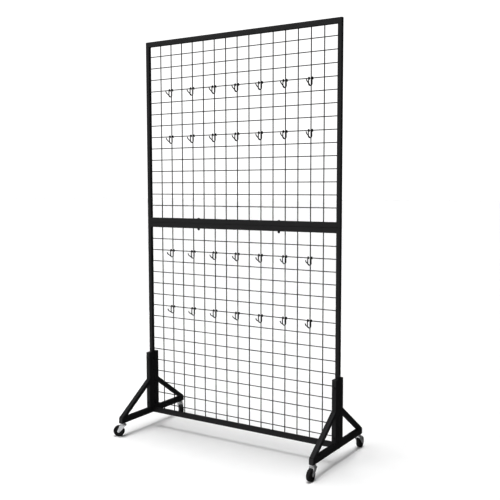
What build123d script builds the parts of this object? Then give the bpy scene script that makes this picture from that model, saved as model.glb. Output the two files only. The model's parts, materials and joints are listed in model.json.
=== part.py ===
"""Grid display panel on casters.

Two framed wire grids stand one above the other and are bolted together through their middle rails.
Four triangular brackets, one in front of and one behind each lower stile, are clamped to it with
through bolts. Each bracket stands on a swivel caster. Wire hooks hang on four of the cross wires.

Millimetres. +X runs along the panel to the right, +Y to the rear, +Z up. The origin is on the floor,
under the middle of the panel, in the mid plane of its frame.
"""

import os

from build123d import *

# Panel frames
PANEL_WIDTH = 1000.0
LOWER_PANEL_HEIGHT = 912.0
UPPER_PANEL_HEIGHT = 831.0
STILE_WIDTH = 18.0
RAIL_HEIGHT = 22.0
FRAME_DEPTH = 16.0
FRAME_WALL = 1.2
FRAME_CORNER = 1.6  # outside corner radius of the frame tube

# Wire grids
COLUMN_PITCH = 60.0
ROW_PITCH = 52.5
UPRIGHT_WIRE_COUNT = 15
UPRIGHT_WIRE_RADIUS = 2.0
CROSS_WIRE_RADIUS = 1.75
LOWER_ROW_COUNT = 16
UPPER_ROW_COUNT = 14
LOWER_FIRST_ROW = 48.5  # lowest cross wire above the lower panel's bottom edge
UPPER_FIRST_ROW = 79.5  # lowest cross wire above the upper panel's bottom edge

# Foot brackets
FOOT_TUBE_WIDTH = 20.0
FOOT_TUBE_DEPTH = 25.0
FOOT_WALL = 1.5
FOOT_CORNER = 2.0  # outside corner radius of the foot tube
ARM_END = 227.0  # from the panel's mid plane to the arm's open end
UPRIGHT_TOP = 290.0  # above the underside of the arms
BRACE_HEIGHT = 22.0  # of the brace, measured vertically
BRACE_TOP_AT_UPRIGHT = 165.0  # above the underside of the arms
BRACE_TOP_AT_END = 28.0  # above the underside of the arms
CAP_FLANGE = 3.0
CAP_PLUG = 7.0

# Casters
CASTER_HEIGHT = 63.0
STEM_FROM_PANEL = 212.0
WHEEL_RADIUS = 25.0
WHEEL_WIDTH = 18.0
CASTER_TRAIL = 20.0
AXLE_RADIUS = 3.0
AXLE_CLEARANCE = 0.06
STEM_RADIUS = 4.0
STEM_CLEARANCE = 0.1
FORK_SHEET = 2.0
FORK_PLATE_BOTTOM = 50.5
FORK_PLATE_TOP = 53.0
FORK_REACH = (-12.0, 15.0)  # the plate's ends behind and ahead of the stem
FORK_GAP = 0.2  # between the turning fork and the fixed faces above and below it
# Direction in which each caster trails at rest, in degrees from +X
CASTERS = {
    "front_left": (-1, -1, 210.0),
    "front_right": (1, -1, 270.0),
    "rear_left": (-1, 1, 320.0),
    "rear_right": (1, 1, 92.0),
}

# Fasteners
BOLT_RADIUS = 3.0
BOLT_HOLE_RADIUS = 3.2
BOLT_HEAD_RADIUS = 6.5
BOLT_HEAD_HEIGHT = 3.6
BOLT_END = 2.4  # of the bolt's tip beyond its nut
WASHER_RADIUS = 6.0
WASHER_THICKNESS = 1.6
NUT_FLATS = 10.0
NUT_HEIGHT = 5.0
NUT_GAP = 0.05
STEM_NUT_FLATS = 13.0
STEM_NUT_HEIGHT = 6.5
JOINING_BOLT_X = 210.0
CLAMP_BOLT_HEIGHTS = (50.0, 260.0)  # above the underside of the arms

# Hooks
HOOK_WIRE_RADIUS = 2.0
HOOK_HALF_WIDTH = 8.0
HOOK_WIRE_GAP = 0.35  # between the hook and the cross wire that it hangs on
HOOK_TAIL = 5.0
HOOK_LEG = 22.0
HOOK_PRONG = 34.0
HOOK_PRONG_RISE = 28.0  # degrees
HOOK_TIP = 7.0
HOOK_TIP_RISE = 62.0  # degrees
HOOK_COLUMNS = range(2, 15, 2)  # every second upright wire, counted from 1 at the left
# Cross wires that carry hooks, counted from 1 at the top of each panel
HOOK_ROWS = {
    "hooks_row_1": ("upper", 4),
    "hooks_row_2": ("upper", 8),
    "hooks_row_3": ("lower", 2),
    "hooks_row_4": ("lower", 7),
}

# Levels and places that follow from the above
ARM_BOTTOM = CASTER_HEIGHT
ARM_TOP = ARM_BOTTOM + FOOT_TUBE_DEPTH
SEAM = ARM_BOTTOM + LOWER_PANEL_HEIGHT
PANEL_TOP = SEAM + UPPER_PANEL_HEIGHT
PANELS = {
    "lower": (ARM_BOTTOM, SEAM, ARM_BOTTOM + LOWER_FIRST_ROW, LOWER_ROW_COUNT),
    "upper": (SEAM, PANEL_TOP, SEAM + UPPER_FIRST_ROW, UPPER_ROW_COUNT),
}
FOOT_X = PANEL_WIDTH / 2 - FOOT_TUBE_WIDTH / 2
STILE_X = PANEL_WIDTH / 2 - STILE_WIDTH / 2
HALF_DEPTH = FRAME_DEPTH / 2
UPRIGHT_FACE = HALF_DEPTH + FOOT_TUBE_DEPTH
SIDES = {"left": -1, "right": 1}
ENDS = {"front": -1, "rear": 1}


def write(node, *solids):
    """Write one node's solids to its own file."""
    shape = solids[0] if len(solids) == 1 else Compound(children=list(solids))
    export_step(shape, f"parts/{node}.step")


def mitred_tube(length, width, other_width):
    """A frame tube along X, centred, its outer edge at Z = 0 and its inner edge below, mitred at both
    ends to meet tubes of other_width."""

    def trapezoid(low, high):
        run_high = length / 2 - other_width * high / width
        run_low = length / 2 - other_width * low / width
        corners = [(-run_high, -high), (run_high, -high), (run_low, -low), (-run_low, -low)]
        return Plane.XZ * Polygon(*corners, align=None)

    outside = extrude(trapezoid(0, width), FRAME_DEPTH / 2, both=True)
    outside = fillet(outside.edges().filter_by(Axis.X), FRAME_CORNER)
    cavity = trapezoid(FRAME_WALL, width - FRAME_WALL)
    return outside - extrude(cavity, FRAME_DEPTH / 2 - FRAME_WALL, both=True)


def drill(x, y, z, direction, radius, depth):
    """A drill through a point, along a direction, reaching depth to both sides."""
    return Plane((x, y, z), z_dir=direction) * Cylinder(radius, 2 * depth)


def rails(bottom, top):
    """The top and the bottom rail of one panel."""
    rail = mitred_tube(PANEL_WIDTH, RAIL_HEIGHT, STILE_WIDTH)
    top_rail = Pos(0, 0, top) * rail
    bottom_rail = Pos(0, 0, bottom) * Rot(0, 180, 0) * rail
    for x in (-JOINING_BOLT_X, JOINING_BOLT_X):
        hole = drill(x, 0, SEAM, (0, 0, 1), BOLT_HOLE_RADIUS, 2 * RAIL_HEIGHT)
        top_rail -= hole
        bottom_rail -= hole
    return top_rail, bottom_rail


def stile(bottom, top, side):
    """One stile of a panel. Those of the lower panel are drilled for the clamp bolts."""
    tube = mitred_tube(top - bottom, STILE_WIDTH, RAIL_HEIGHT)
    tube = Pos(side * PANEL_WIDTH / 2, 0, (bottom + top) / 2) * Rot(0, side * 90, 0) * tube
    for height in CLAMP_BOLT_HEIGHTS:
        x = side * STILE_X
        tube -= drill(x, 0, ARM_BOTTOM + height, (0, 1, 0), BOLT_HOLE_RADIUS, FRAME_DEPTH)
    return tube


def column_x(column):
    """The place of an upright wire, counted from 1 at the left."""
    return (column - (UPRIGHT_WIRE_COUNT + 1) / 2) * COLUMN_PITCH


def row_z(panel, row_from_top):
    """The level of a cross wire, counted from 1 at the top of its panel."""
    _, _, first_row, count = PANELS[panel]
    return first_row + (count - row_from_top) * ROW_PITCH


def upright_wires(bottom, top):
    """The upright wires of one panel, behind its cross wires."""
    length = top - bottom - 2 * RAIL_HEIGHT
    wire = Cylinder(UPRIGHT_WIRE_RADIUS, length)
    middle = (bottom + top) / 2
    columns = range(1, UPRIGHT_WIRE_COUNT + 1)
    return [Pos(column_x(column), UPRIGHT_WIRE_RADIUS, middle) * wire for column in columns]


def cross_wires(panel):
    """The cross wires of one panel, from stile to stile."""
    length = PANEL_WIDTH - 2 * STILE_WIDTH
    wire = Rot(0, 90, 0) * Cylinder(CROSS_WIRE_RADIUS, length)
    rows = range(1, PANELS[panel][3] + 1)
    return [Pos(0, -CROSS_WIRE_RADIUS, row_z(panel, row)) * wire for row in rows]


def arm(side, end):
    """The level tube of a foot bracket, from the stile outwards, drilled below for the caster's stem."""
    length = ARM_END - HALF_DEPTH
    inside_width = FOOT_TUBE_WIDTH - 2 * FOOT_WALL
    tube = Box(FOOT_TUBE_WIDTH, length, FOOT_TUBE_DEPTH)
    tube = fillet(tube.edges().filter_by(Axis.Y), FOOT_CORNER)
    tube -= Box(inside_width, length, FOOT_TUBE_DEPTH - 2 * FOOT_WALL)
    tube = Pos(side * FOOT_X, end * (HALF_DEPTH + length / 2), ARM_BOTTOM + FOOT_TUBE_DEPTH / 2) * tube
    stem_y = end * STEM_FROM_PANEL
    return tube - drill(side * FOOT_X, stem_y, ARM_BOTTOM, (0, 0, 1), STEM_RADIUS + 0.2, 2 * FOOT_WALL)


def upright(side, end):
    """The upright tube of a foot bracket, standing on its arm and drilled for the clamp bolts."""
    height = UPRIGHT_TOP - FOOT_TUBE_DEPTH
    y = end * (HALF_DEPTH + FOOT_TUBE_DEPTH / 2)
    tube = Box(FOOT_TUBE_WIDTH, FOOT_TUBE_DEPTH, height)
    tube = fillet(tube.edges().filter_by(Axis.Z), FOOT_CORNER)
    tube -= Box(FOOT_TUBE_WIDTH - 2 * FOOT_WALL, FOOT_TUBE_DEPTH - 2 * FOOT_WALL, height)
    tube = Pos(side * FOOT_X, y, ARM_TOP + height / 2) * tube
    for bolt_height in CLAMP_BOLT_HEIGHTS:
        z = ARM_BOTTOM + bolt_height
        tube -= drill(side * STILE_X, y, z, (0, 1, 0), BOLT_HOLE_RADIUS, FOOT_TUBE_DEPTH)
    return tube


def brace(side, end):
    """The sloping tube from the end of a bracket's arm up to its upright."""
    run = ARM_END - UPRIGHT_FACE
    slope = (BRACE_TOP_AT_UPRIGHT - BRACE_TOP_AT_END) / run
    wall_height = FOOT_WALL * (1 + slope**2) ** 0.5

    def outline(inset, end_inset):
        high = ARM_BOTTOM + BRACE_TOP_AT_UPRIGHT - inset
        low = high - BRACE_HEIGHT + 2 * inset
        outer_y = ARM_END - end_inset
        toe_y = UPRIGHT_FACE + (low - ARM_TOP) / slope
        corners = [
            (outer_y, ARM_TOP),
            (outer_y, high - slope * (outer_y - UPRIGHT_FACE)),
            (UPRIGHT_FACE, high),
            (UPRIGHT_FACE, low),
            (toe_y, ARM_TOP),
        ]
        return Plane.YZ * Polygon(*corners, align=None)

    tube = extrude(outline(0, 0), FOOT_TUBE_WIDTH / 2, both=True)
    along = Vector(0, ARM_END - UPRIGHT_FACE, BRACE_TOP_AT_END - BRACE_TOP_AT_UPRIGHT).normalized()
    long_edges = tube.edges().filter_by(lambda edge: abs((edge % 0.5).dot(along)) > 0.999)
    tube = fillet(long_edges, FOOT_CORNER)
    tube -= extrude(outline(wall_height, FOOT_WALL), FOOT_TUBE_WIDTH / 2 - FOOT_WALL, both=True)
    if end < 0:
        tube = mirror(tube, Plane.XZ)
    return Pos(side * FOOT_X, 0, 0) * tube


def tube_cap():
    """A plastic cap for an open foot tube, its plug pointing down and its flange above Z = 0."""
    flange = Pos(0, 0, CAP_FLANGE / 2) * Box(FOOT_TUBE_WIDTH, FOOT_TUBE_DEPTH, CAP_FLANGE)
    flange = fillet(flange.edges().filter_by(Axis.Z), FOOT_CORNER)
    flange = chamfer(flange.faces().sort_by(Axis.Z)[-1].edges(), 1.0)
    plug_size = (FOOT_TUBE_WIDTH - 2 * FOOT_WALL, FOOT_TUBE_DEPTH - 2 * FOOT_WALL)
    plug = Pos(0, 0, -CAP_PLUG / 2) * Box(*plug_size, CAP_PLUG)
    hollow = Pos(0, 0, -CAP_PLUG / 2) * Box(plug_size[0] - 3, plug_size[1] - 3, CAP_PLUG)
    return flange + (plug - hollow)


def foot_caps():
    """The caps of the four uprights and those of the four arms."""
    cap = tube_cap()
    on_uprights, on_arms = [], []
    for side in SIDES.values():
        for end in ENDS.values():
            y = end * (HALF_DEPTH + FOOT_TUBE_DEPTH / 2)
            on_uprights.append(Pos(side * FOOT_X, y, ARM_BOTTOM + UPRIGHT_TOP) * cap)
            middle = ARM_BOTTOM + FOOT_TUBE_DEPTH / 2
            on_arms.append(Pos(side * FOOT_X, end * ARM_END, middle) * Rot(-end * 90, 0, 0) * cap)
    return on_uprights, on_arms


def bolt(grip):
    """A domed bolt along -Z from the underside of its head at Z = 0, through a grip of that length."""
    length = grip + WASHER_THICKNESS + NUT_HEIGHT + BOLT_END
    dome_radius = (BOLT_HEAD_RADIUS**2 + BOLT_HEAD_HEIGHT**2) / (2 * BOLT_HEAD_HEIGHT)
    ball = Pos(0, 0, BOLT_HEAD_HEIGHT - dome_radius) * Sphere(dome_radius)
    head = ball & Pos(0, 0, BOLT_HEAD_HEIGHT / 2) * Cylinder(BOLT_HEAD_RADIUS, BOLT_HEAD_HEIGHT)
    shank = Pos(0, 0, -length / 2) * Cylinder(BOLT_RADIUS, length)
    shank = chamfer(shank.faces().sort_by(Axis.Z)[0].edges(), 0.6)
    return head + shank


def washer(grip):
    """The washer on the far side of a grip."""
    ring = Cylinder(WASHER_RADIUS, WASHER_THICKNESS) - Cylinder(BOLT_HOLE_RADIUS, WASHER_THICKNESS)
    return Pos(0, 0, -grip - WASHER_THICKNESS / 2) * ring


def hex_nut(flats, height, bore_radius):
    """A hexagonal nut with its lower face at Z = 0."""
    blank = extrude(RegularPolygon(flats / 2, 6, major_radius=False), height)
    cone_radius = flats / 2 * 1.12
    rounding = Pos(0, 0, height / 2) * Cylinder(cone_radius, height)
    return (blank & rounding) - Pos(0, 0, height / 2) * Cylinder(bore_radius, height)


def bolt_nut(grip):
    """The nut behind the washer of a grip."""
    nut = hex_nut(NUT_FLATS, NUT_HEIGHT, BOLT_RADIUS + NUT_GAP)
    return Pos(0, 0, -grip - WASHER_THICKNESS - NUT_HEIGHT) * nut


def fastener_places():
    """The place of each joining bolt and each clamp bolt, and the grip of each kind."""
    joining = [Pos(x, 0, SEAM + RAIL_HEIGHT) for x in (-JOINING_BOLT_X, JOINING_BOLT_X)]
    clamping = []
    for side in SIDES.values():
        for height in CLAMP_BOLT_HEIGHTS:
            place = Pos(side * STILE_X, -UPRIGHT_FACE, ARM_BOTTOM + height)
            clamping.append(place * Rot(90, 0, 0))
    return joining, 2 * RAIL_HEIGHT, clamping, 2 * UPRIGHT_FACE


def caster_stem():
    """The fixed part of a caster: threaded stem, swivel cap and the rivet head under the fork."""
    rivet_top = FORK_PLATE_BOTTOM - FORK_GAP
    washer_top = FORK_PLATE_TOP + FORK_GAP + 1.3
    stem_top = ARM_BOTTOM + FOOT_WALL + STEM_NUT_HEIGHT + 2.5
    profile = Polyline(
        (0, rivet_top - 2.6),
        (4.6, rivet_top - 2.6),
        (6, rivet_top - 1.4),
        (6, rivet_top),
        (STEM_RADIUS, rivet_top),
        (STEM_RADIUS, washer_top),
        (12.5, washer_top),
        (12.5, washer_top + 3),
        (10.5, washer_top + 5),
        (9, ARM_BOTTOM),
        (STEM_RADIUS, ARM_BOTTOM),
        (STEM_RADIUS, stem_top - 0.8),
        (STEM_RADIUS - 0.8, stem_top),
        (0, stem_top),
        close=True,
    )
    return revolve(Plane.XZ * make_face(profile), Axis.Z)


def swivel_washer():
    """The plain bearing washer between the swivel cap and the fork."""
    low = FORK_PLATE_TOP + FORK_GAP
    high = low + 1.3
    ring = Cylinder(11, high - low) - Cylinder(STEM_RADIUS + 0.2, high - low)
    return Pos(0, 0, (low + high) / 2) * ring


def fork():
    """The pressed fork, trailing towards +X, with its turning hole and its two axle holes."""
    leg_inside = WHEEL_WIDTH / 2 + 1.0
    leg_outside = leg_inside + FORK_SHEET
    back, front = FORK_REACH
    top = (back, FORK_PLATE_TOP)
    shoulder = Line((back, FORK_PLATE_BOTTOM - 0.5), top) + Line(top, (front, FORK_PLATE_TOP))
    boss = Pos(CASTER_TRAIL, WHEEL_RADIUS) * Circle(6.5)
    side_view = Plane.XZ * make_hull(shoulder.edges() + boss.edges())
    legs = [
        Pos(0, middle, 0) * extrude(side_view, FORK_SHEET / 2, both=True)
        for middle in (-leg_inside - FORK_SHEET / 2, leg_inside + FORK_SHEET / 2)
    ]
    plate_height = FORK_PLATE_TOP - FORK_PLATE_BOTTOM
    plan = Pos((back + front) / 2, 0) * Rectangle(front - back, 2 * leg_outside)
    plate = Pos(0, 0, FORK_PLATE_BOTTOM) * extrude(plan, plate_height)
    body = plate + legs[0] + legs[1]
    body -= drill(0, 0, FORK_PLATE_TOP, (0, 0, 1), STEM_RADIUS + STEM_CLEARANCE, 2 * plate_height)
    return body - drill(CASTER_TRAIL, 0, WHEEL_RADIUS, (0, 1, 0), AXLE_RADIUS, 2 * leg_outside)


def axle():
    """The riveted axle of a caster, along Y, with a head outside each fork leg."""
    half = WHEEL_WIDTH / 2 + 1.0 + FORK_SHEET
    head = 1.8
    profile = Polyline(
        (0, -half - head),
        (3.6, -half - head),
        (5, -half - head / 2),
        (5, -half),
        (AXLE_RADIUS, -half),
        (AXLE_RADIUS, half),
        (5, half),
        (5, half + head / 2),
        (3.6, half + head),
        (0, half + head),
        close=True,
    )
    pin = revolve(make_face(profile), Axis.Y)
    return Pos(CASTER_TRAIL, 0, WHEEL_RADIUS) * pin


def wheel_solid(corners):
    """A solid of revolution about a caster's axle, from (radius, half width) corners of one half."""
    mirrored = [(radius, -half) for radius, half in reversed(corners)]
    profile = make_face(Polyline(*corners, *mirrored, close=True))
    return Pos(CASTER_TRAIL, 0, WHEEL_RADIUS) * revolve(profile, Axis.Y)


def wheel_hub():
    """The plastic wheel centre: boss, web and rim."""
    bore = AXLE_RADIUS + AXLE_CLEARANCE
    return wheel_solid([(bore, 9.3), (6.5, 9.3), (7.2, 4), (14, 3), (14.6, 7.6), (17, 7.6)])


def wheel_tyre():
    """The tread on the wheel centre, with bevelled shoulders."""
    half = WHEEL_WIDTH / 2
    corners = [(17, half - 0.6), (18.4, half), (22, half), (24.2, half - 1.6), (WHEEL_RADIUS, half - 4.2)]
    return wheel_solid(corners)


def write_casters():
    """Write the pieces of the four casters, each turned to its own trailing direction."""
    pieces = {
        "caster_stem": caster_stem(),
        "swivel_washer": swivel_washer(),
        "fork": fork(),
        "axle": axle(),
        "wheel_hub": wheel_hub(),
        "wheel_tyre": wheel_tyre(),
    }
    for corner, (side, end, heading) in CASTERS.items():
        place = Pos(side * FOOT_X, end * STEM_FROM_PANEL, 0) * Rot(0, 0, heading)
        for piece, solid in pieces.items():
            write(f"{corner}_{piece}", place * solid)
    nut = hex_nut(STEM_NUT_FLATS, STEM_NUT_HEIGHT, STEM_RADIUS + NUT_GAP)
    level = ARM_BOTTOM + FOOT_WALL
    places = [Pos(side * FOOT_X, end * STEM_FROM_PANEL, level) for side, end, _ in CASTERS.values()]
    write("caster_nuts", *[place * nut for place in places])


def hook():
    """One hook, with the axis of its cross wire along X through the origin."""
    bend = CROSS_WIRE_RADIUS + HOOK_WIRE_GAP + HOOK_WIRE_RADIUS
    half = HOOK_HALF_WIDTH
    tail = (-half, bend, -HOOK_TAIL)
    path = Wire(
        [
            Line(tail, (-half, bend, 0)),
            ThreePointArc((-half, bend, 0), (-half, 0, bend), (-half, -bend, 0)),
            Line((-half, -bend, 0), (-half, -bend, -HOOK_LEG)),
            ThreePointArc((-half, -bend, -HOOK_LEG), (0, -bend, -HOOK_LEG - half), (half, -bend, -HOOK_LEG)),
            Line((half, -bend, -HOOK_LEG), (half, -bend, 0)),
            ThreePointArc((half, -bend, 0), (half, 0, bend), (half, bend, 0)),
            Line((half, bend, 0), (half, bend, -HOOK_TAIL)),
        ]
    )
    yoke = sweep(Plane(tail, z_dir=(0, 0, 1)) * Circle(HOOK_WIRE_RADIUS), path=path)
    root = Vector(0, -bend, -HOOK_LEG - half)
    prong_direction = Vector(0, -1, 0).rotate(Axis.X, -HOOK_PRONG_RISE)
    tip_direction = Vector(0, -1, 0).rotate(Axis.X, -HOOK_TIP_RISE)
    knee = root + prong_direction * HOOK_PRONG
    tip = knee + tip_direction * HOOK_TIP
    prong = FilletPolyline(root, knee, tip, radius=6)
    wire = sweep(Plane(root, z_dir=prong_direction) * Circle(HOOK_WIRE_RADIUS), path=prong)
    return yoke + wire + Pos(*tip) * Sphere(HOOK_WIRE_RADIUS)


def write_hooks():
    """Write the rows of hooks, each hook astride an upright wire."""
    piece = hook()
    for node, (panel, row) in HOOK_ROWS.items():
        z = row_z(panel, row)
        places = [Pos(column_x(column), -CROSS_WIRE_RADIUS, z) for column in HOOK_COLUMNS]
        write(node, *[place * piece for place in places])


def write_panels():
    """Write the frames and the wires of both panels."""
    for panel, (bottom, top, _, _) in PANELS.items():
        top_rail, bottom_rail = rails(bottom, top)
        write(f"{panel}_panel_top_rail", top_rail)
        write(f"{panel}_panel_bottom_rail", bottom_rail)
        for name, side in SIDES.items():
            write(f"{panel}_panel_{name}_stile", stile(bottom, top, side))
        write(f"{panel}_panel_upright_wires", *upright_wires(bottom, top))
        write(f"{panel}_panel_cross_wires", *cross_wires(panel))


def write_feet():
    """Write the four foot brackets and their caps."""
    for side_name, side in SIDES.items():
        for end_name, end in ENDS.items():
            corner = f"{end_name}_{side_name}"
            write(f"{corner}_arm", arm(side, end))
            write(f"{corner}_upright", upright(side, end))
            write(f"{corner}_brace", brace(side, end))
    on_uprights, on_arms = foot_caps()
    write("upright_caps", *on_uprights)
    write("arm_caps", *on_arms)


def write_fasteners():
    """Write the joining bolts, the clamp bolts and their washers and nuts."""
    joining, joining_grip, clamping, clamping_grip = fastener_places()
    write("joining_bolts", *[place * bolt(joining_grip) for place in joining])
    write("clamp_bolts", *[place * bolt(clamping_grip) for place in clamping])
    washers = [place * washer(joining_grip) for place in joining]
    washers += [place * washer(clamping_grip) for place in clamping]
    write("washers", *washers)
    nuts = [place * bolt_nut(joining_grip) for place in joining]
    nuts += [place * bolt_nut(clamping_grip) for place in clamping]
    write("nuts", *nuts)


def main():
    os.makedirs("parts", exist_ok=True)
    write_panels()
    write_feet()
    write_fasteners()
    write_casters()
    write_hooks()


main()
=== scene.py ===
"""Looks for the grid display panel on casters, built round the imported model.

The frame, wires, hooks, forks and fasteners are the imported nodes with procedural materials. Wheels are
replaced by finer meshes, and welds are added where wires and tubes meet. Everything is in metres.
"""

import json
import math
import random

import bmesh
import bpy
from mathutils import Matrix, Vector


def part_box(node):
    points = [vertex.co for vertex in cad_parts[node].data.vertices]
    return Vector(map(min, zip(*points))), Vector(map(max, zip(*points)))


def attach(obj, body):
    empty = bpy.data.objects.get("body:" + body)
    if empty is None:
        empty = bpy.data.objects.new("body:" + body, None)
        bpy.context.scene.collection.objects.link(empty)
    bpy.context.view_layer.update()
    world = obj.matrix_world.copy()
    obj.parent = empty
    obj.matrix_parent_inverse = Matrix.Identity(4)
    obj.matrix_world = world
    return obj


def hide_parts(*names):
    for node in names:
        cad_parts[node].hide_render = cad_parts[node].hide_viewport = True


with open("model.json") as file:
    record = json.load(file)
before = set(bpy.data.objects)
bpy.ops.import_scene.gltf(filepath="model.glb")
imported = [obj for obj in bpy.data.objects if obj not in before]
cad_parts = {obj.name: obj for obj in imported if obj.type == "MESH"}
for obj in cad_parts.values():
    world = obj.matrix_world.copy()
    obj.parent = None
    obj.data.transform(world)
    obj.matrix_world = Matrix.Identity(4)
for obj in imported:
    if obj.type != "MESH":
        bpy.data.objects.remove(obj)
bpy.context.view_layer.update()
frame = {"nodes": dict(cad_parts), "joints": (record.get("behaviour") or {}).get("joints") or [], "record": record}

MM = 0.001
CORNERS = ("front_left", "front_right", "rear_left", "rear_right")
PANELS = {"upper": (15, 14), "lower": (15, 16)}  # upright wires, cross wires
STAND = "stand"

# Camera, from the photograph's viewing angle
CAMERA_PLACE = Vector((1.8254, -2.7724, 1.1395))
CAMERA_YAW = 32.41
CAMERA_PITCH = 4.75
CAMERA_ROLL = -0.09
CAMERA_LENS = 54.6
CAMERA_SENSOR = 36.0
VIEW_GAMMA = 0.8  # a little more contrast, as a product photograph has

# Weld sizes
NUGGET_RADIUS = 1.75 * MM
NUGGET_HALF_DEPTH = 0.85 * MM
NUGGET_SCATTER = 0.2 * MM
BEAD_RADIUS = 1.7 * MM
BEAD_INSET = 2.2 * MM

# Studio
SUN_ANGLE = 24
SUN_STRENGTH = 2.32
FILL_POWER = 16
FILL_SIZE = 2.2
BACKDROP_STRENGTH = 1.1
SURROUND = (0.05, 0.95)  # strength at the rear right and at the front left
FLOOR_HALF = 60.0


# ---------------------------------------------------------------- shader helpers


class Shader:
    """A material's node tree, with short calls for the nodes that the materials share."""

    def __init__(self, name):
        self.material = bpy.data.materials.new(name)
        self.material.use_nodes = True
        self.tree = self.material.node_tree
        self.bsdf = self.tree.nodes["Principled BSDF"]
        self.coordinates = self.tree.nodes.new("ShaderNodeTexCoord").outputs["Object"]

    def link(self, source, target):
        self.tree.links.new(source, target)

    def noise(self, scale, detail=3.0, roughness=0.55, stretch=None):
        """Noise over the object's own space, in features per metre."""
        node = self.tree.nodes.new("ShaderNodeTexNoise")
        node.inputs["Scale"].default_value = scale
        node.inputs["Detail"].default_value = detail
        node.inputs["Roughness"].default_value = roughness
        vector = self.coordinates
        if stretch:
            mapping = self.tree.nodes.new("ShaderNodeMapping")
            mapping.inputs["Scale"].default_value = stretch
            self.link(vector, mapping.inputs["Vector"])
            vector = mapping.outputs["Vector"]
        self.link(vector, node.inputs["Vector"])
        return node.outputs["Fac"]

    def ramp(self, source, stops):
        """A colour ramp over a value, from (position, colour or grey) stops."""
        node = self.tree.nodes.new("ShaderNodeValToRGB")
        elements = node.color_ramp.elements
        while len(elements) < len(stops):
            elements.new(0.5)
        for element, (position, colour) in zip(elements, stops):
            if isinstance(colour, (int, float)):
                colour = (colour, colour, colour)
            element.position = position
            element.color = (*colour, 1.0)
        self.link(source, node.inputs["Fac"])
        return node.outputs["Color"]

    def mix(self, factor, first, second):
        """A colour between two sources or constants; sockets go by place, because their names repeat."""
        node = self.tree.nodes.new("ShaderNodeMix")
        node.data_type = "RGBA"
        sockets = (node.inputs[0], node.inputs[6], node.inputs[7])
        for socket, value in zip(sockets, (factor, first, second)):
            if hasattr(value, "is_linked"):
                self.link(value, socket)
            elif isinstance(value, (int, float)):
                socket.default_value = value
            else:
                socket.default_value = (*value, 1.0)
        return node.outputs[2]

    def bump(self, layers):
        """Bumps laid over each other, from (height source, strength, distance) layers."""
        normal = None
        for height, strength, distance in layers:
            node = self.tree.nodes.new("ShaderNodeBump")
            node.inputs["Strength"].default_value = strength
            node.inputs["Distance"].default_value = distance
            self.link(height, node.inputs["Height"])
            if normal is not None:
                self.link(normal, node.inputs["Normal"])
            normal = node.outputs["Normal"]
        self.link(normal, self.bsdf.inputs["Normal"])

    def height_mask(self, low, high):
        """One at the level low and below, falling to zero at the level high, in metres."""
        split = self.tree.nodes.new("ShaderNodeSeparateXYZ")
        self.link(self.coordinates, split.inputs["Vector"])
        span = self.tree.nodes.new("ShaderNodeMapRange")
        span.inputs["From Min"].default_value = low
        span.inputs["From Max"].default_value = high
        span.inputs["To Min"].default_value = 1.0
        span.inputs["To Max"].default_value = 0.0
        self.link(split.outputs["Z"], span.inputs["Value"])
        return span.outputs["Result"]

    def multiply(self, first, second):
        node = self.tree.nodes.new("ShaderNodeMath")
        node.operation = "MULTIPLY"
        self.link(first, node.inputs[0])
        if isinstance(second, (int, float)):
            node.inputs[1].default_value = second
        else:
            self.link(second, node.inputs[1])
        return node.outputs["Value"]


def powder_coat(name, base, light, roughness, peel):
    """Satin black powder coat: orange peel, fine speckle, thin dust, and scuffs near the floor."""
    s = Shader(name)
    speckle = s.ramp(s.noise(2600, 2.0), [(0.42, 0.0), (0.62, 1.0)])
    cloud = s.ramp(s.noise(14, 4.0), [(0.35, 0.0), (0.7, 1.0)])
    colour = s.mix(speckle, base, light)
    dusty = s.mix(s.multiply(cloud, 0.35), colour, tuple(c * 2.0 + 0.002 for c in base))
    scratches = s.ramp(s.noise(90, 6.0, 0.7, (1.0, 1.0, 0.12)), [(0.64, 0.0), (0.72, 1.0)])
    scuffs = s.multiply(s.multiply(scratches, s.height_mask(0.05, 0.42)), 0.5)
    s.link(s.mix(scuffs, dusty, (0.06, 0.06, 0.062)), s.bsdf.inputs["Base Color"])
    low, high = roughness
    s.link(s.ramp(s.noise(55, 5.0, 0.6), [(0.3, low), (0.75, high)]), s.bsdf.inputs["Roughness"])
    s.bsdf.inputs["Specular IOR Level"].default_value = 0.25
    s.bump([(s.noise(420, 2.0), peel, 0.0006), (s.noise(2400, 2.0), 0.10, 0.0002)])
    return s.material


def zinc_plate(name, tone, roughness):
    """Bright zinc plate over pressed steel: fine grain, drawn marks and a faint darker stain."""
    s = Shader(name)
    stain = s.ramp(s.noise(70, 4.0), [(0.3, tone), (0.75, tuple(c * 0.84 for c in tone))])
    pits = s.ramp(s.noise(1500, 3.0), [(0.62, 0.0), (0.72, 1.0)])
    s.link(s.mix(s.multiply(pits, 0.35), stain, (0.33, 0.33, 0.34)), s.bsdf.inputs["Base Color"])
    s.bsdf.inputs["Metallic"].default_value = 0.82
    low, high = roughness
    grain = s.noise(260, 5.0, 0.65, (1.0, 1.0, 6.0))
    s.link(s.ramp(grain, [(0.3, low), (0.75, high)]), s.bsdf.inputs["Roughness"])
    s.bump([(grain, 0.12, 0.0002), (s.noise(120, 3.0), 0.08, 0.0006)])
    return s.material


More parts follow.
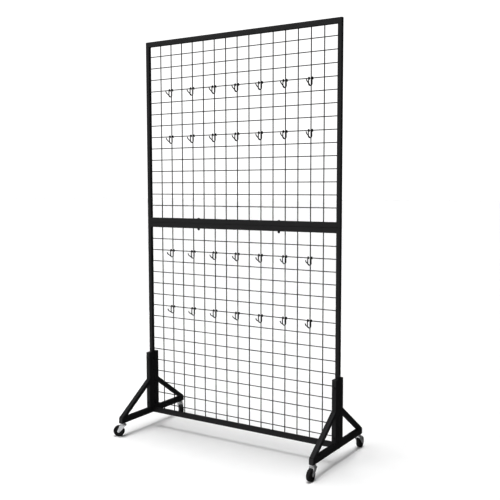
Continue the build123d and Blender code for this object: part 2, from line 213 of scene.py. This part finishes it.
def moulded_plastic(name, base, light, roughness):
    """Moulded plastic: fine spark texture, slight flow marks and handling marks."""
    s = Shader(name)
    flow = s.ramp(s.noise(45, 3.0, 0.5, (1.0, 1.0, 2.5)), [(0.3, 0.0), (0.75, 1.0)])
    colour = s.mix(flow, base, light)
    marks = s.ramp(s.noise(230, 5.0, 0.7), [(0.62, 0.0), (0.74, 1.0)])
    marked = tuple(min(1, c * 1.8 + 0.02) for c in light)
    s.link(s.mix(s.multiply(marks, 0.25), colour, marked), s.bsdf.inputs["Base Color"])
    low, high = roughness
    s.link(s.ramp(s.noise(160, 4.0), [(0.3, low), (0.7, high)]), s.bsdf.inputs["Roughness"])
    s.bump([(s.noise(900, 2.0), 0.25, 0.0003), (s.noise(60, 2.0), 0.05, 0.001)])
    return s.material


def tread_rubber(name):
    """Black rubber tread: matt, with pale floor dust on the running surface and small nicks."""
    s = Shader(name)
    dust = s.ramp(s.noise(240, 6.0, 0.7), [(0.45, 0.0), (0.72, 1.0)])
    dusty = s.mix(s.multiply(dust, 0.45), (0.007, 0.007, 0.007), (0.035, 0.034, 0.032))
    s.link(dusty, s.bsdf.inputs["Base Color"])
    s.link(s.ramp(s.noise(150, 4.0), [(0.3, 0.5), (0.75, 0.78)]), s.bsdf.inputs["Roughness"])
    s.bsdf.inputs["Specular IOR Level"].default_value = 0.35
    s.bump([(s.noise(1100, 3.0), 0.3, 0.0003), (s.noise(210, 4.0), 0.18, 0.0006)])
    return s.material


def make_materials():
    """One material for each slot of the record."""
    coats = {  # base colour, lighter colour, roughness range, orange peel
        "frame_coat": ((0.013, 0.013, 0.0135), (0.024, 0.024, 0.025), (0.38, 0.54), 0.22),
        "wire_coat": ((0.004, 0.004, 0.0045), (0.009, 0.009, 0.0095), (0.38, 0.54), 0.14),
        "hook_coat": ((0.004, 0.004, 0.0045), (0.008, 0.008, 0.008), (0.26, 0.42), 0.1),
        "fastener_black": ((0.006, 0.006, 0.007), (0.016, 0.016, 0.017), (0.28, 0.45), 0.08),
    }
    plastics = {  # base colour, lighter colour, roughness range
        "cap_plastic": ((0.016, 0.016, 0.017), (0.027, 0.027, 0.028), (0.42, 0.6)),
        "wheel_plastic": ((0.016, 0.016, 0.017), (0.026, 0.026, 0.027), (0.36, 0.52)),
        "nylon": ((0.62, 0.6, 0.55), (0.7, 0.68, 0.62), (0.35, 0.5)),
    }
    made = {slot: powder_coat(slot, *values) for slot, values in coats.items()}
    made.update({slot: moulded_plastic(slot, *values) for slot, values in plastics.items()})
    made["zinc"] = zinc_plate("zinc", (0.93, 0.935, 0.95), (0.24, 0.42))
    made["tread"] = tread_rubber("tread")
    return made


def paint_nodes(materials):
    """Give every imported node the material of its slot."""
    for part in frame["record"]["subparts"]:
        node = frame["nodes"][part["node"]]
        node.data.materials.clear()
        node.data.materials.append(materials[part["material_slot"]])


# ---------------------------------------------------------------- mesh helpers


def new_piece(name, mesh_maker, material, body):
    """A piece from a bmesh, with its material and the body that it rides on."""
    bm = bmesh.new()
    mesh_maker(bm)
    bmesh.ops.recalc_face_normals(bm, faces=bm.faces)
    mesh = bpy.data.meshes.new(name)
    bm.to_mesh(mesh)
    bm.free()
    for face in mesh.polygons:
        face.use_smooth = True
    mesh.materials.append(material)
    piece = bpy.data.objects.new(name, mesh)
    bpy.context.scene.collection.objects.link(piece)
    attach(piece, body)
    return piece


def revolve(bm, profile, place, segments):
    """A closed solid of revolution about the local Y axis, from a closed loop of (radius, y) points."""
    rings = []
    for k in range(segments):
        angle = 2 * math.pi * k / segments
        turn = Vector((math.cos(angle), 0, math.sin(angle)))
        rings.append([bm.verts.new(place @ (turn * radius + Vector((0, y, 0)))) for radius, y in profile])
    count = len(profile)
    for k in range(segments):
        ring, following = rings[k], rings[(k + 1) % segments]
        for i in range(count):
            j = (i + 1) % count
            bm.faces.new((ring[i], ring[j], following[j], following[i]))


def rounded(profile, radius, steps):
    """The profile with each corner cut back by radius and rounded with an arc-like curve."""
    result = []
    count = len(profile)
    for i, point in enumerate(profile):
        here = Vector(point)
        before = Vector(profile[i - 1])
        after = Vector(profile[(i + 1) % count])
        reach = min(radius, 0.45 * (here - before).length, 0.45 * (after - here).length)
        start = here + (before - here).normalized() * reach
        end = here + (after - here).normalized() * reach
        for k in range(steps + 1):
            t = k / steps
            result.append(tuple(start * (1 - t) ** 2 + here * 2 * t * (1 - t) + end * t**2))
    return result


def blob(bm, centre, radii, subdivisions, turn=None):
    """A closed ellipsoid of weld metal."""
    matrix = Matrix.Translation(centre) @ (turn or Matrix.Identity(4)) @ Matrix.Diagonal((*radii, 1))
    bmesh.ops.create_icosphere(bm, subdivisions=subdivisions, radius=1.0, matrix=matrix)


def collar(bm, centre, direction, wire_radius, foot_radius, length):
    """The small fillet of weld round a wire's end, its wide side on the tube at centre."""
    axis = Vector(direction).normalized()
    turn = Vector((0, 1, 0)).rotation_difference(axis).to_matrix().to_4x4()
    place = Matrix.Translation(centre) @ turn
    inner = wire_radius * 0.9
    middle = wire_radius + (foot_radius - wire_radius) * 0.35
    profile = [
        (inner, -0.2 * MM),
        (foot_radius, -0.2 * MM),
        (middle, length * 0.45),
        (wire_radius * 1.02, length),
        (inner, length),
    ]
    revolve(bm, profile, place, 12)


def bead(bm, start, end, radius, rng):
    """A weld bead between two points, as overlapping ripples."""
    start, end = Vector(start), Vector(end)
    run = end - start
    count = max(2, int(run.length / (radius * 0.95)))
    turn = Vector((1, 0, 0)).rotation_difference(run.normalized()).to_matrix().to_4x4()
    for k in range(count):
        centre = start + run * ((k + 0.5) / count)
        size = radius * rng.uniform(0.9, 1.08)
        blob(bm, centre, (size * 0.85, size, size), 1, turn)


# ---------------------------------------------------------------- welds


def spread(low, high, count):
    """Evenly spaced places from low to high."""
    return [low + (high - low) * k / (count - 1) for k in range(count)]


def wire_places(panel):
    """Where the wires of a panel run: columns, rows, and the two wire radii."""
    columns_count, rows_count = PANELS[panel]
    low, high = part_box(f"{panel}_panel_upright_wires")
    upright_radius = (high.y - low.y) / 2
    columns = spread(low.x + upright_radius, high.x - upright_radius, columns_count)
    upright_span = (low.z, high.z)
    low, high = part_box(f"{panel}_panel_cross_wires")
    cross_radius = (high.y - low.y) / 2
    rows = spread(low.z + cross_radius, high.z - cross_radius, rows_count)
    return columns, rows, upright_radius, cross_radius, upright_span, (low.x, high.x)


def add_wire_welds(materials):
    """The spot welds at the crossings, and the fillets where wires meet rails and stiles."""
    for panel in PANELS:
        columns, rows, upright_radius, cross_radius, upright_span, cross_span = wire_places(panel)
        rng = random.Random(f"{panel} welds")

        def crossings(bm):
            for x in columns:
                for z in rows:
                    shift_x = rng.uniform(-NUGGET_SCATTER, NUGGET_SCATTER)
                    shift_z = rng.uniform(-NUGGET_SCATTER, NUGGET_SCATTER)
                    centre = Vector((x + shift_x, 0, z + shift_z))
                    width = NUGGET_RADIUS * rng.uniform(0.9, 1.12)
                    blob(bm, centre, (width, NUGGET_HALF_DEPTH, width), 1)

        def fillets(bm):
            foot = upright_radius + 1.1 * MM
            for x in columns:
                for z, way in zip(upright_span, (1, -1)):
                    collar(bm, (x, upright_radius, z), (0, 0, way), upright_radius, foot, 1.6 * MM)
            foot = cross_radius + 1.0 * MM
            for z in rows:
                for x, way in zip(cross_span, (1, -1)):
                    collar(bm, (x, -cross_radius, z), (way, 0, 0), cross_radius, foot, 1.5 * MM)

        new_piece(f"{panel}_crossing_welds", crossings, materials["wire_coat"], STAND)
        new_piece(f"{panel}_wire_end_welds", fillets, materials["wire_coat"], STAND)


def span_near(node, axis, value, other, reach=0.4 * MM):
    """The lowest and highest coordinate on the axis other, over the node's points at value on axis."""
    vertices = frame["nodes"][node].data.vertices
    found = [v.co[other] for v in vertices if abs(v.co[axis] - value) < reach]
    return min(found), max(found)


def add_bracket_welds(materials):
    """Weld beads across the tubes of each foot bracket, above and below each joint."""
    for corner in CORNERS:
        arm_low, arm_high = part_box(f"{corner}_arm")
        upright_low, upright_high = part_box(f"{corner}_upright")
        outward = -1 if corner.startswith("front") else 1
        face_y = upright_low.y if outward < 0 else upright_high.y
        brace = f"{corner}_brace"
        low_z, high_z = span_near(brace, 1, face_y, 2)
        toe_low, toe_high = span_near(brace, 2, arm_high.z, 1)
        toe_y = toe_high if outward < 0 else toe_low
        left, right = arm_low.x + BEAD_INSET, arm_high.x - BEAD_INSET
        lines = [(face_y, low_z), (face_y, high_z), (toe_y, arm_high.z), (face_y, arm_high.z)]
        rng = random.Random(f"{corner} beads")

        def beads(bm):
            for y, z in lines:
                bead(bm, (left, y, z), (right, y, z), BEAD_RADIUS, rng)

        new_piece(f"{corner}_bracket_welds", beads, materials["frame_coat"], STAND)


# ---------------------------------------------------------------- wheels


def caster_places():
    """For each caster, its wheel's place with Y along the axle, and the wheel radius."""
    places = {}
    for joint in frame["joints"]:
        if not joint["name"].endswith("_roll"):
            continue
        corner = joint["name"].removesuffix("_roll")
        axis = Vector(joint["axis"])
        centre = Vector(joint["pos_m"])
        turn = Matrix.Rotation(math.atan2(-axis.x, axis.y), 4, "Z")
        low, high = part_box(f"{corner}_wheel_tyre")
        places[corner] = (Matrix.Translation(centre) @ turn, (high.z - low.z) / 2)
    return places


def tyre_profile(radius):
    """The tread's section: crowned, with round shoulders, two fine grooves and a mould line."""
    half = radius * 0.355
    seat = radius * 0.68
    groove, depth = half * 0.42, 0.5 * MM
    lip = 0.45 * MM
    outline = [
        (seat, -half * 0.93),
        (seat + 1.4 * MM, -half),
        (radius - 2.6 * MM, -half),
        (radius - 0.7 * MM, -half * 0.74),
        (radius - 0.12 * MM, -groove - lip),
        (radius - 0.12 * MM - depth, -groove),
        (radius - 0.12 * MM, -groove + lip),
        (radius, -0.25 * MM),
        (radius, 0.25 * MM),
        (radius - 0.12 * MM, groove - lip),
        (radius - 0.12 * MM - depth, groove),
        (radius - 0.12 * MM, groove + lip),
        (radius - 0.7 * MM, half * 0.74),
        (radius - 2.6 * MM, half),
        (seat + 1.4 * MM, half),
        (seat, half * 0.93),
    ]
    return rounded(outline, 0.9 * MM, 3)


def hub_profile(radius):
    """The wheel centre's section: boss, thin web and rim, with moulded radii."""
    bore, boss, seat = radius * 0.124, radius * 0.26, radius * 0.68
    half = radius * 0.305
    outline = [
        (bore, -half * 1.2),
        (boss, -half * 1.2),
        (boss + 0.7 * MM, -2.4 * MM),
        (seat - 3.0 * MM, -2.0 * MM),
        (seat - 2.3 * MM, -half),
        (seat, -half),
    ]
    outline += [(r, -y) for r, y in reversed(outline)]
    return rounded(outline, 0.6 * MM, 2)


def rib(bm, place, inner, outer, half_width, thickness):
    """A radial rib of the wheel centre, slightly tapered towards its free edges."""
    corners = []
    for r in (inner, outer):
        for y, t in ((-half_width, 0.6), (0, 1.0), (half_width, 0.6)):
            for way in (-1, 1):
                corners.append(bm.verts.new(place @ Vector((r, y, way * t * thickness / 2))))
    inner_end, outer_end = corners[:6], corners[6:]
    loop = (0, 2, 4, 5, 3, 1)
    bm.faces.new([inner_end[i] for i in loop])
    bm.faces.new([outer_end[i] for i in loop])
    for i in range(6):
        a, b = loop[i], loop[(i + 1) % 6]
        bm.faces.new((inner_end[a], inner_end[b], outer_end[b], outer_end[a]))


def add_wheels(materials):
    """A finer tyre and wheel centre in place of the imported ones."""
    for corner, (place, radius) in caster_places().items():

        def tyre(bm):
            revolve(bm, tyre_profile(radius), place, 96)

        def hub(bm):
            revolve(bm, hub_profile(radius), place, 72)
            for k in range(8):
                spoke = place @ Matrix.Rotation(math.pi / 4 * k, 4, "Y")
                rib(bm, spoke, radius * 0.24, radius * 0.6, radius * 0.235, 1.5 * MM)

        body = f"{corner}_wheel"
        tyre_piece = new_piece(f"{corner}_tyre_tread", tyre, materials["tread"], body)
        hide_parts(f"{corner}_wheel_tyre")
        hub_piece = new_piece(f"{corner}_ribbed_hub", hub, materials["wheel_plastic"], body)
        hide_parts(f"{corner}_wheel_hub")


def soften_edges():
    """Round the edges of the pressed, turned and moulded nodes with a small bevel."""
    widths = {"_fork": 0.35, "_caster_stem": 0.25, "_axle": 0.2, "nuts": 0.25, "caps": 0.35, "washers": 0.15}
    for name, node in frame["nodes"].items():
        for ending, width in widths.items():
            if not name.endswith(ending):
                continue
            bevel = node.modifiers.new("soft_edges", "BEVEL")
            bevel.width = width * MM
            bevel.segments = 2
            bevel.limit_method = "ANGLE"
            bevel.angle_limit = math.radians(38)
            bevel.use_clamp_overlap = True


# ---------------------------------------------------------------- studio


def add_floor():
    """A plain pale floor."""
    mesh = bpy.data.meshes.new("floor")
    signs = ((-1, -1), (1, -1), (1, 1), (-1, 1))
    corners = [(x * FLOOR_HALF, y * FLOOR_HALF, 0) for x, y in signs]
    mesh.from_pydata(corners, [], [(0, 1, 2, 3)])
    s = Shader("floor_paper")
    s.link(s.ramp(s.noise(6, 3.0), [(0.3, 0.93), (0.7, 0.95)]), s.bsdf.inputs["Base Color"])
    s.bsdf.inputs["Roughness"].default_value = 0.85
    s.bsdf.inputs["Specular IOR Level"].default_value = 0.1
    mesh.materials.append(s.material)
    floor = bpy.data.objects.new("floor", mesh)
    bpy.context.scene.collection.objects.link(floor)
    floor.visible_glossy = False


def add_lamp(name, kind, place, target, energy):
    """A lamp at a place, aimed at a point."""
    data = bpy.data.lights.new(name, kind)
    data.energy = energy
    lamp = bpy.data.objects.new(name, data)
    lamp.location = place
    lamp.rotation_euler = (Vector(target) - Vector(place)).to_track_quat("-Z", "Y").to_euler()
    bpy.context.scene.collection.objects.link(lamp)
    return data


def add_studio():
    """A surround brightest at the front left, a soft overhead lamp and a front fill."""
    world = bpy.data.worlds.new("studio")
    bpy.context.scene.world = world
    world.use_nodes = True
    tree = world.node_tree
    background = tree.nodes["Background"]
    direction = tree.nodes.new("ShaderNodeTexCoord")
    facing = tree.nodes.new("ShaderNodeVectorMath")
    facing.operation = "DOT_PRODUCT"
    facing.inputs[1].default_value = (-0.62, -0.78, 0.1)
    tree.links.new(direction.outputs["Generated"], facing.inputs[0])
    span = tree.nodes.new("ShaderNodeMapRange")
    span.interpolation_type = "SMOOTHSTEP"
    span.inputs["From Min"].default_value = -0.3
    span.inputs["From Max"].default_value = 0.9
    span.inputs["To Min"].default_value, span.inputs["To Max"].default_value = SURROUND
    tree.links.new(facing.outputs["Value"], span.inputs["Value"])
    seen = tree.nodes.new("ShaderNodeLightPath")
    pick = tree.nodes.new("ShaderNodeMix")
    pick.inputs["B"].default_value = BACKDROP_STRENGTH
    tree.links.new(seen.outputs["Is Camera Ray"], pick.inputs["Factor"])
    tree.links.new(span.outputs["Result"], pick.inputs["A"])
    tree.links.new(pick.outputs["Result"], background.inputs["Strength"])
    background.inputs["Color"].default_value = (1, 1, 1, 1)
    overhead = add_lamp("overhead", "SUN", (-0.05, 0.18, 5.0), (0, 0, 0), SUN_STRENGTH)
    overhead.angle = math.radians(SUN_ANGLE)
    fill = add_lamp("front_fill", "AREA", (-1.8, -3.4, 2.4), (0, 0, 0.9), FILL_POWER)
    fill.shape = "SQUARE"
    fill.size = FILL_SIZE


def add_camera():
    data = bpy.data.cameras.new("camera")
    data.lens = CAMERA_LENS
    data.sensor_width = CAMERA_SENSOR
    data.clip_end = 200
    camera = bpy.data.objects.new("camera", data)
    yaw = Matrix.Rotation(math.radians(CAMERA_YAW), 4, "Z")
    pitch = Matrix.Rotation(math.radians(90 - CAMERA_PITCH), 4, "X")
    roll = Matrix.Rotation(math.radians(CAMERA_ROLL), 4, "Z")
    camera.matrix_world = Matrix.Translation(CAMERA_PLACE) @ yaw @ pitch @ roll
    bpy.context.scene.collection.objects.link(camera)
    bpy.context.scene.camera = camera


def main():
    settings = bpy.context.scene.view_settings
    settings.view_transform = "Standard"
    settings.gamma = VIEW_GAMMA
    add_camera()
    materials = make_materials()
    paint_nodes(materials)
    add_wire_welds(materials)
    add_bracket_welds(materials)
    add_wheels(materials)
    soften_edges()
    add_floor()
    add_studio()


main()
